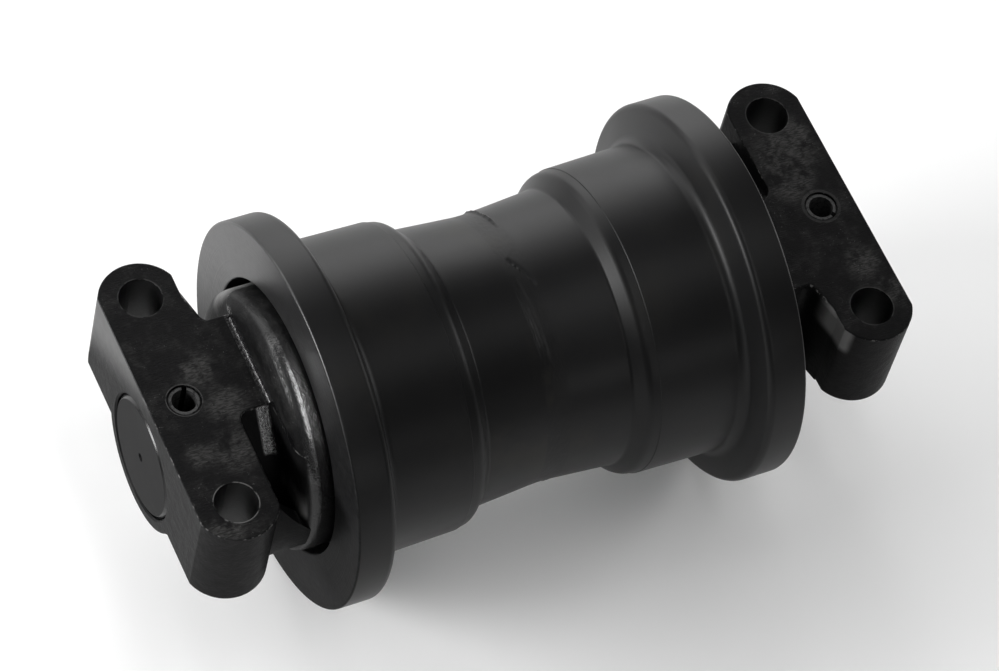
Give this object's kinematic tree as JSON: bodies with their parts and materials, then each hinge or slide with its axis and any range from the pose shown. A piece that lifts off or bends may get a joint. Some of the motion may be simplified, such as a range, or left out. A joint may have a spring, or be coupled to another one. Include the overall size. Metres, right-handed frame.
{
  "type": "excavator track roller",
  "caption": "Double-flanged bottom track roller: a waisted steel shell that turns on a through shaft held in bolt-on end collars.",
  "frame": {"origin": "the middle of the roller, on its axis of rotation", "axes": "+Y along the roller's axis, +Z square to the collars' mounting faces, up to the track frame, +X across, towards one bolt of each collar"},
  "size_m": [0.2, 0.388, 0.2],
  "materials": {
    "shell_paint": "satin black enamel over forged and cast steel",
    "collar_paint": "semi-gloss black enamel over a cast and machined surface",
    "shaft_paint": "thin satin black enamel over turned steel",
    "weld_paint": "satin black enamel over a weld bead",
    "pin_steel": "oiled spring steel, partly overpainted",
    "bush_bronze": "bimetal bush with a bronze lining",
    "seal_steel": "lapped wear-resistant iron",
    "seal_rubber": "matt black nitrile",
    "plug_steel": "zinc plated",
    "washer_copper": "annealed copper"
  },
  "bodies": {
    "frame_side": {"shaft": "shaft_paint", "near_end_collar": "collar_paint", "far_end_collar": "collar_paint", "near_lock_pin": "pin_steel", "far_lock_pin": "pin_steel", "near_shaft_o_ring": "seal_rubber", "far_shaft_o_ring": "seal_rubber", "near_fixed_seal_ring": "seal_steel", "far_fixed_seal_ring": "seal_steel", "near_fixed_toric_ring": "seal_rubber", "far_fixed_toric_ring": "seal_rubber", "oil_plug": "plug_steel", "oil_plug_washer": "washer_copper"},
    "roller": {"near_shell_half": "shell_paint", "far_shell_half": "shell_paint", "shell_weld": "weld_paint", "near_bushing": "bush_bronze", "far_bushing": "bush_bronze", "near_turning_seal_ring": "seal_steel", "far_turning_seal_ring": "seal_steel", "near_turning_toric_ring": "seal_rubber", "far_turning_toric_ring": "seal_rubber"}
  },
  "joints": [
    {"name": "roller_spin", "type": "hinge", "parent": "frame_side", "child": "roller", "pos_m": [0, 0, 0], "axis": [0, 1, 0], "continuous": true}
  ]
}
